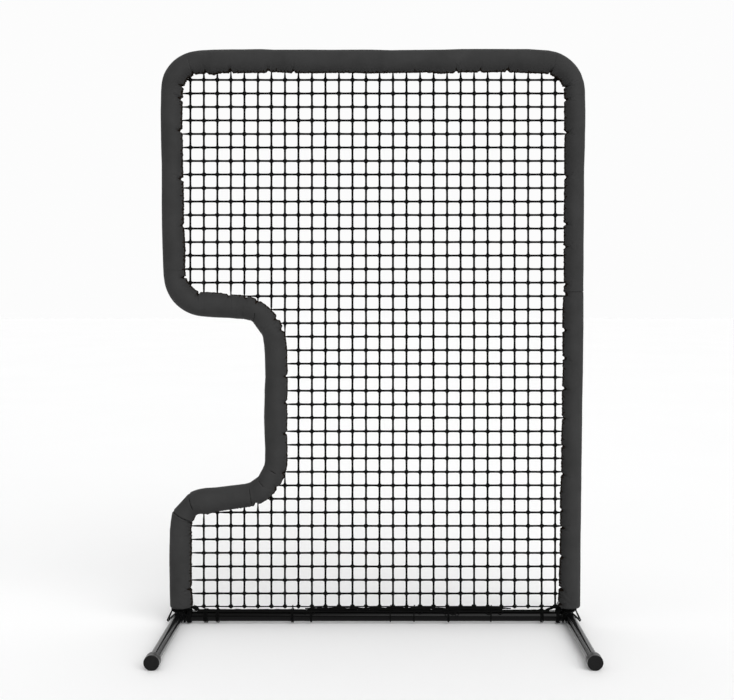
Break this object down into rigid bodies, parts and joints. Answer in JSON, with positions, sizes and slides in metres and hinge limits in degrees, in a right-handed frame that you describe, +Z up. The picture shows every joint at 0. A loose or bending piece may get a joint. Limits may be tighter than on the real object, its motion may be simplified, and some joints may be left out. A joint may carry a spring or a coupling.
{
  "type": "pitching protective c screen",
  "caption": "Free-standing C-shaped pitching screen: padded steel tube frame, knotted net laced inside, throwing notch at one side, capped feet and pinned uprights.",
  "frame": {"origin": "on the ground at the bottom centre of the bounding box, midway between the two feet, 0.174 m in front of the frame's plane", "axes": "+Z up, +X along the screen's width away from the notch, +Y through the frame from the pictured face to the other face"},
  "size_m": [1.5814, 0.6, 2.1475],
  "materials": {
    "frame_steel": "gloss",
    "cap_rubber": "matte",
    "fastener_zinc": "satin",
    "pin_steel": "satin",
    "pad_vinyl": "matte",
    "net_twine": "matte"
  },
  "bodies": {
    "screen": {"lower_left_tube": "frame_steel", "notch_tube": "frame_steel", "upper_left_tube": "frame_steel", "top_left_tube": "frame_steel", "top_right_tube": "frame_steel", "right_lower_tube": "frame_steel", "bottom_rail": "frame_steel", "left_foot": "frame_steel", "right_foot": "frame_steel", "left_foot_cap_front": "cap_rubber", "left_foot_cap_rear": "cap_rubber", "right_foot_cap_front": "cap_rubber", "right_foot_cap_rear": "cap_rubber", "joint_screw_1": "fastener_zinc", "joint_screw_2": "fastener_zinc", "joint_screw_3": "fastener_zinc", "joint_screw_4": "fastener_zinc", "joint_screw_5": "fastener_zinc", "pad_left_lower": "pad_vinyl", "pad_left_lower_corner": "pad_vinyl", "pad_lower_bar": "pad_vinyl", "pad_notch_lower_corner": "pad_vinyl", "pad_notch_upright": "pad_vinyl", "pad_notch_upper_corner": "pad_vinyl", "pad_upper_bar": "pad_vinyl", "pad_left_upper_corner": "pad_vinyl", "pad_left_upper": "pad_vinyl", "pad_top_left_corner": "pad_vinyl", "pad_top": "pad_vinyl", "pad_top_right_corner": "pad_vinyl", "pad_right_upper": "pad_vinyl", "pad_right_lower": "pad_vinyl", "net_upper": "net_twine", "net_middle": "net_twine", "net_lower": "net_twine", "rail_lacing": "net_twine", "net_tie_1": "net_twine", "net_tie_2": "net_twine", "net_tie_3": "net_twine", "net_tie_4": "net_twine", "net_tie_5": "net_twine", "net_tie_6": "net_twine", "net_tie_7": "net_twine", "net_tie_8": "net_twine", "net_tie_9": "net_twine", "net_tie_10": "net_twine"},
    "left_pin": {"left_hitch_pin": "pin_steel"},
    "right_pin": {"right_hitch_pin": "pin_steel"},
    "left_bail": {"left_pin_bail": "pin_steel"},
    "right_bail": {"right_pin_bail": "pin_steel"}
  },
  "joints": [
    {"name": "left_pin_slide", "type": "slide", "parent": "screen", "child": "left_pin", "axis": [-1, 0, 0], "range_m": [0, 0.042]},
    {"name": "right_pin_slide", "type": "slide", "parent": "screen", "child": "right_pin", "axis": [1, 0, 0], "range_m": [0, 0.042]},
    {"name": "left_bail_swing", "type": "hinge", "parent": "left_pin", "child": "left_bail", "pos_m": [-0.76785, 0.174, 0.05265], "axis": [0, 1, 0], "range_deg": [0, 75]},
    {"name": "right_bail_swing", "type": "hinge", "parent": "right_pin", "child": "right_bail", "pos_m": [0.76785, 0.174, 0.05265], "axis": [0, -1, 0], "range_deg": [0, 75]}
  ]
}
